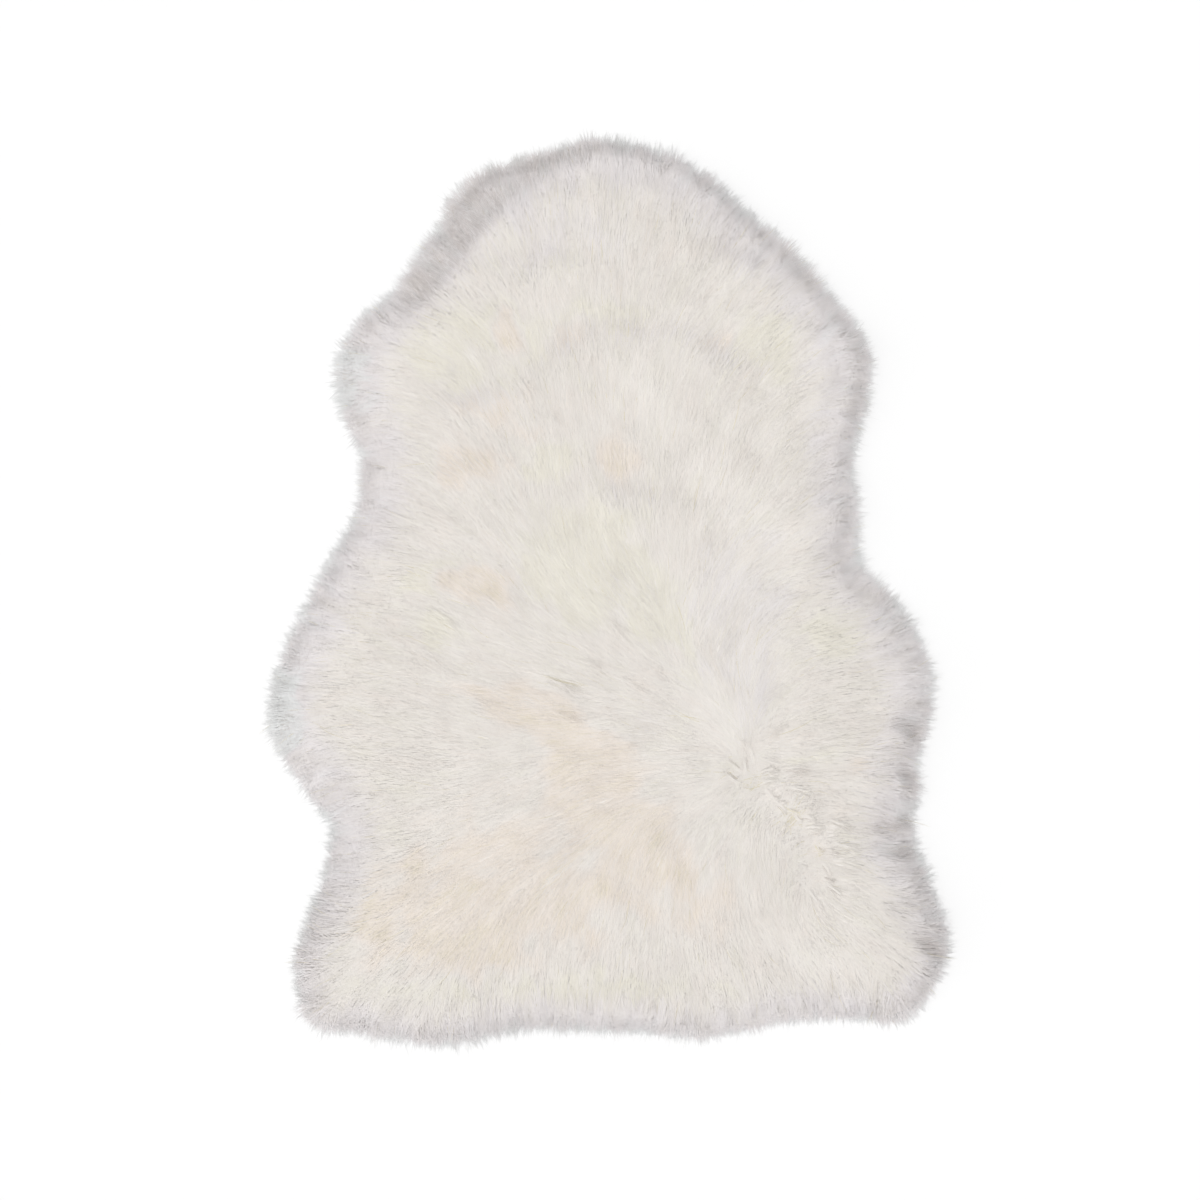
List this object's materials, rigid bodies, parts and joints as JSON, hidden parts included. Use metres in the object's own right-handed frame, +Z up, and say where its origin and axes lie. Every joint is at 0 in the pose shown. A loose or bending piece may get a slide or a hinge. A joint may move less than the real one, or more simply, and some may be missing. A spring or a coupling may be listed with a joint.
{
  "type": "sheepskin rug",
  "caption": "Natural sheepskin rug: one long-wool pelt lying flat, wool side up, with combed fleece and loose locks round its rim.",
  "frame": {"origin": "middle of the pelt's box, on the surface that it lies on", "axes": "+Y from the rump towards the neck, +X to the right as seen from above with the neck up, +Z up out of the wool"},
  "size_m": [0.6844, 0.9072, 0.0628],
  "materials": {
    "wool": "soft, silky long wool"
  },
  "bodies": {
    "root": {"sheepskin": "wool"}
  },
  "joints": []
}
